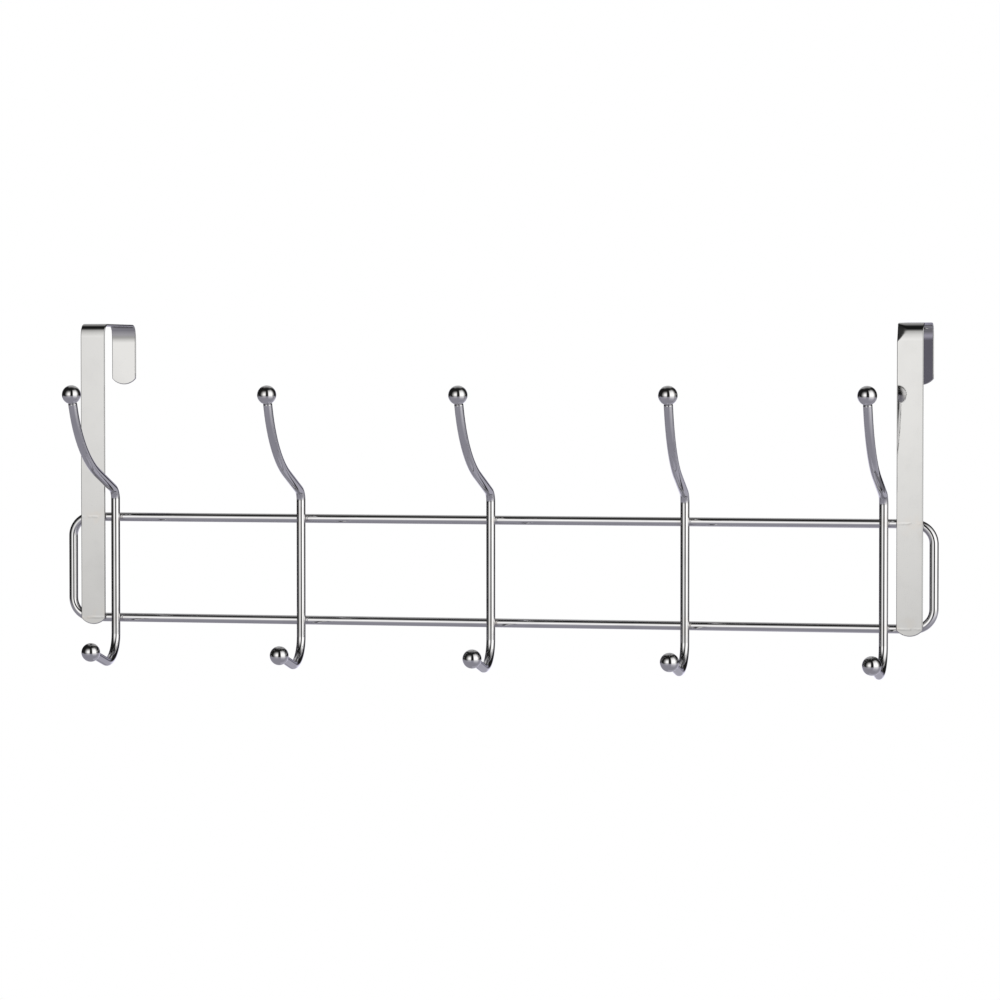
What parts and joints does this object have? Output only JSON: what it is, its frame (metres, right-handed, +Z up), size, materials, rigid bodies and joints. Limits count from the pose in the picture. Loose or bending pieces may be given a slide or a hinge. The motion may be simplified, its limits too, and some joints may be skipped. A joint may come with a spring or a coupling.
{
  "type": "over door hook rack",
  "caption": "Chromed wire rack of double hooks with ball ends, welded across a closed wire frame and hung on a door's top edge by two flat bent straps.",
  "frame": {"origin": "the door's top front edge, midway between the two straps", "axes": "+X to the right along the rack as seen from the front, +Y back towards the door, +Z up"},
  "size_m": [0.5, 0.1254, 0.1942],
  "materials": {
    "frame_chrome": "bright chrome plating",
    "hook_chrome": "bright chrome plating",
    "ball_chrome": "polished chrome plating",
    "strap_chrome": "chrome plating on rolled strip"
  },
  "bodies": {
    "root": {"wire_frame": "frame_chrome", "left_door_strap": "strap_chrome", "right_door_strap": "strap_chrome", "hook_wire_1": "hook_chrome", "upper_ball_1": "ball_chrome", "lower_ball_1": "ball_chrome", "hook_wire_2": "hook_chrome", "upper_ball_2": "ball_chrome", "lower_ball_2": "ball_chrome", "hook_wire_3": "hook_chrome", "upper_ball_3": "ball_chrome", "lower_ball_3": "ball_chrome", "hook_wire_4": "hook_chrome", "upper_ball_4": "ball_chrome", "lower_ball_4": "ball_chrome", "hook_wire_5": "hook_chrome", "upper_ball_5": "ball_chrome", "lower_ball_5": "ball_chrome"}
  },
  "joints": []
}
